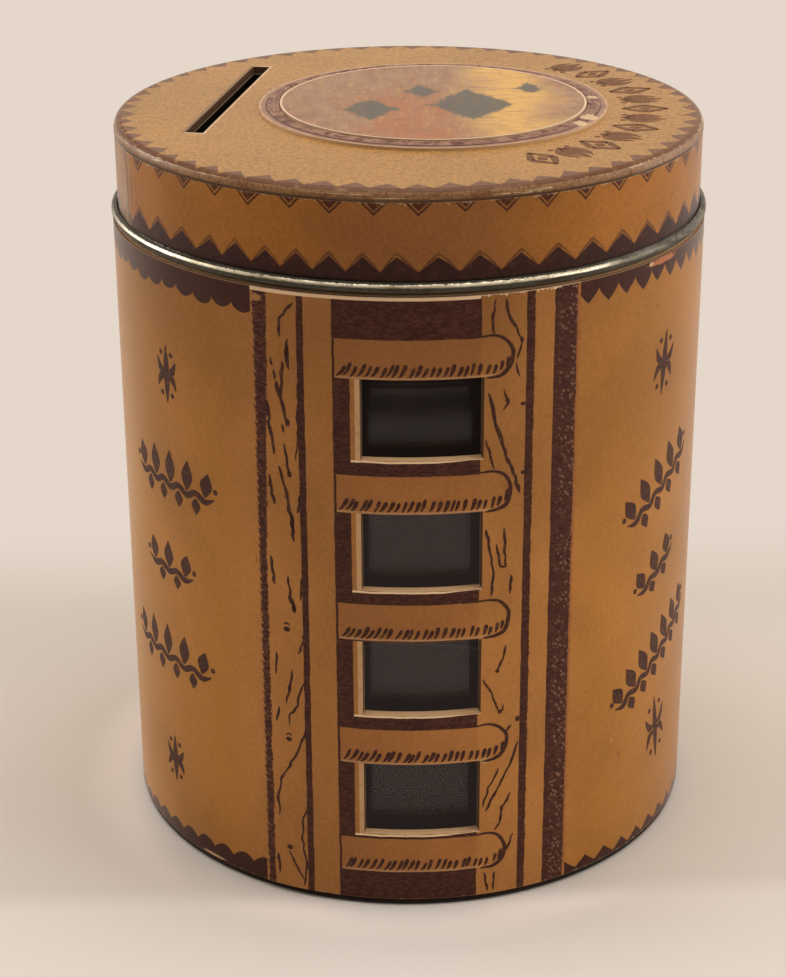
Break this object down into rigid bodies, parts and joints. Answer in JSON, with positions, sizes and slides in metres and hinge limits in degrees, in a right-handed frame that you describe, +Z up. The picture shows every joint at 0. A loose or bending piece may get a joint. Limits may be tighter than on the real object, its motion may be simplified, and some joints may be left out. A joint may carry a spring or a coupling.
{
  "type": "glass jar coin bank",
  "caption": "Round board canister with stacked windows, a glass jar inside and a slip-on tin lid with a coin slot.",
  "frame": {"origin": "on the table, at the canister's axis", "axes": "+Z up along the canister's axis, the windows face -Y, +X is to the right seen from the windows' side"},
  "size_m": [0.0894, 0.0894, 0.1115],
  "materials": {
    "tube_board": "raw grey-brown winding board",
    "wrap_paper": "leather-grained printed paper, satin",
    "collar_board": "raw board, rubbed by the lid",
    "end_tin": "black lacquered tin plate",
    "jar_glass": "clear moulded glass",
    "lid_tin": "aged tin plate, warm grey",
    "lid_paper": "leather-grained printed paper, satin",
    "skirt_paper": "leather-grained printed paper, satin",
    "label_card": "printed card with a pale cut edge",
    "picture_card": "glossy printed card with a pale cut edge"
  },
  "bodies": {
    "canister": {"body_tube": "tube_board", "side_wrap": "wrap_paper", "neck_collar": "collar_board", "base_end": "end_tin"},
    "jar": {"glass_jar": "jar_glass"},
    "lid": {"lid_shell": "lid_tin", "lid_top_paper": "lid_paper", "lid_skirt_paper": "skirt_paper", "label_disc": "label_card", "picture_disc": "picture_card"}
  },
  "joints": [
    {"name": "lid_lift", "type": "slide", "parent": "canister", "child": "lid", "axis": [0, 0, 1], "range_m": [0, 0.24]},
    {"name": "jar_lift", "type": "slide", "parent": "canister", "child": "jar", "axis": [0, 0, 1], "range_m": [0, 0.12]}
  ],
  "couplings": [
    {"joint": "jar_lift", "follows": "lid_lift", "ratio": 0.5}
  ]
}
